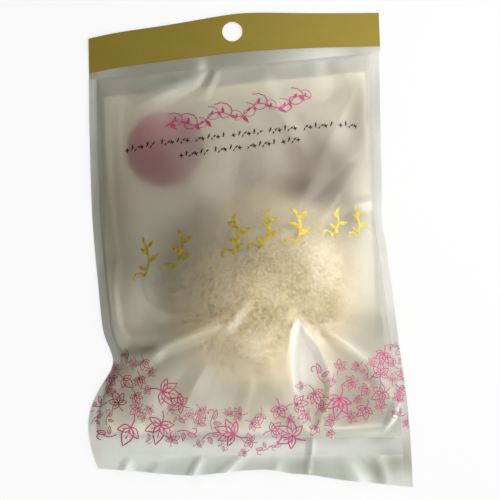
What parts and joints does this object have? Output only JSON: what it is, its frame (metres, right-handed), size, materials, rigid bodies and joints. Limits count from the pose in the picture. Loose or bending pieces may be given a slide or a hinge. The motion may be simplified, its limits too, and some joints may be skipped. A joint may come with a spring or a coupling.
{
  "type": "bagged konjac sponge",
  "caption": "Half-ball konjac sponge on a printed insert inside a heat-sealed frosted film bag with a folding header band and a hang hole.",
  "frame": {"origin": "middle of the whole object's plan outline, on the surface that the bag's back lies on", "axes": "+X to the right of the printed front, +Y towards the header band, +Z out of the front"},
  "size_m": [0.1201, 0.1851, 0.0304],
  "materials": {
    "konjac_foam": "matte",
    "insert_card": "matte",
    "frosted_film": "satin",
    "welded_film": "satin",
    "header_ink": "satin",
    "pink_print": "satin",
    "gold_print": "satin"
  },
  "bodies": {
    "bag": {"insert_card": "insert_card", "back_film": "frosted_film", "front_film": "frosted_film", "left_side_weld": "welded_film", "right_side_weld": "welded_film", "bottom_weld": "welded_film", "skirt_back": "frosted_film", "skirt_front": "frosted_film", "fold_crease": "welded_film"},
    "header": {"top_weld": "welded_film", "header_back": "header_ink", "header_front": "header_ink"},
    "loose_sponge": {"sponge": "konjac_foam"}
  },
  "joints": [
    {"name": "header_fold", "type": "hinge", "parent": "bag", "child": "header", "pos_m": [-0.00174, 0.07202, 0.00015], "axis": [0.9977, 0.0683, 0], "range_deg": [0, 135], "stiffness_Nm_per_rad": 0.005},
    {"name": "sponge_slide", "type": "slide", "parent": "bag", "child": "loose_sponge", "axis": [0, 1, 0], "range_m": [0, 0.005]}
  ]
}
